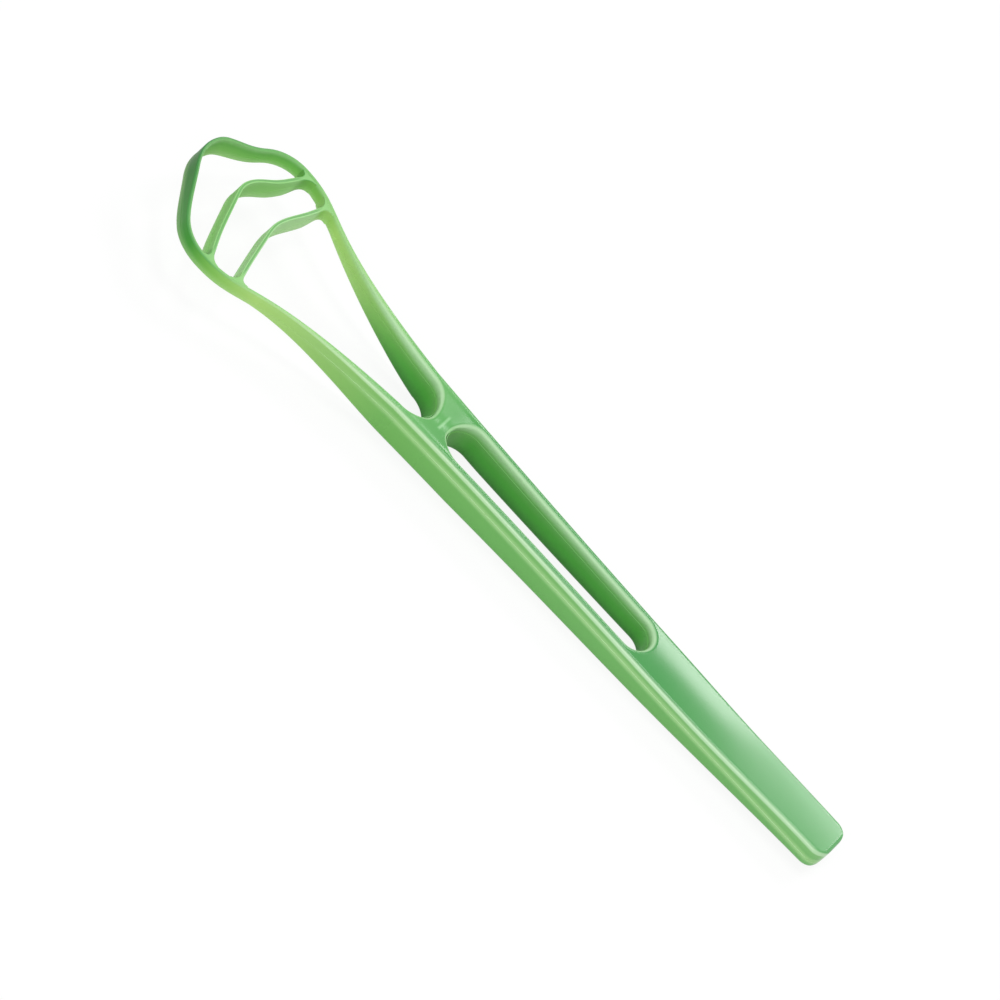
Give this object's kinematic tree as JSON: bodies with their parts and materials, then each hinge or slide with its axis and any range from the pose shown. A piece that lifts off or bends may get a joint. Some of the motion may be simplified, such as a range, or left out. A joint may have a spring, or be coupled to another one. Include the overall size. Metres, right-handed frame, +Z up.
{
  "type": "tongue scraper",
  "caption": "Slim moulded tongue scraper: long slotted handle that forks into a pointed loop head with two chevron scraping blades across it.",
  "frame": {"origin": "centre of the length and width, on the plane that the belly of the handle rests on", "axes": "+Y along the handle towards the scraping head, +Z up from the belly, +X to the right seen from above with the head away"},
  "size_m": [0.0362, 0.1763, 0.0138],
  "materials": {
    "clear_green_plastic": "glossy, lightly clouded translucent green plastic as it leaves a polished mould"
  },
  "bodies": {
    "root": {"grip": "clear_green_plastic", "left_rail": "clear_green_plastic", "right_rail": "clear_green_plastic", "bridge": "clear_green_plastic", "left_arm": "clear_green_plastic", "right_arm": "clear_green_plastic", "left_shoulder": "clear_green_plastic", "right_shoulder": "clear_green_plastic", "front_blade": "clear_green_plastic", "middle_blade": "clear_green_plastic", "rear_blade": "clear_green_plastic"}
  },
  "joints": []
}
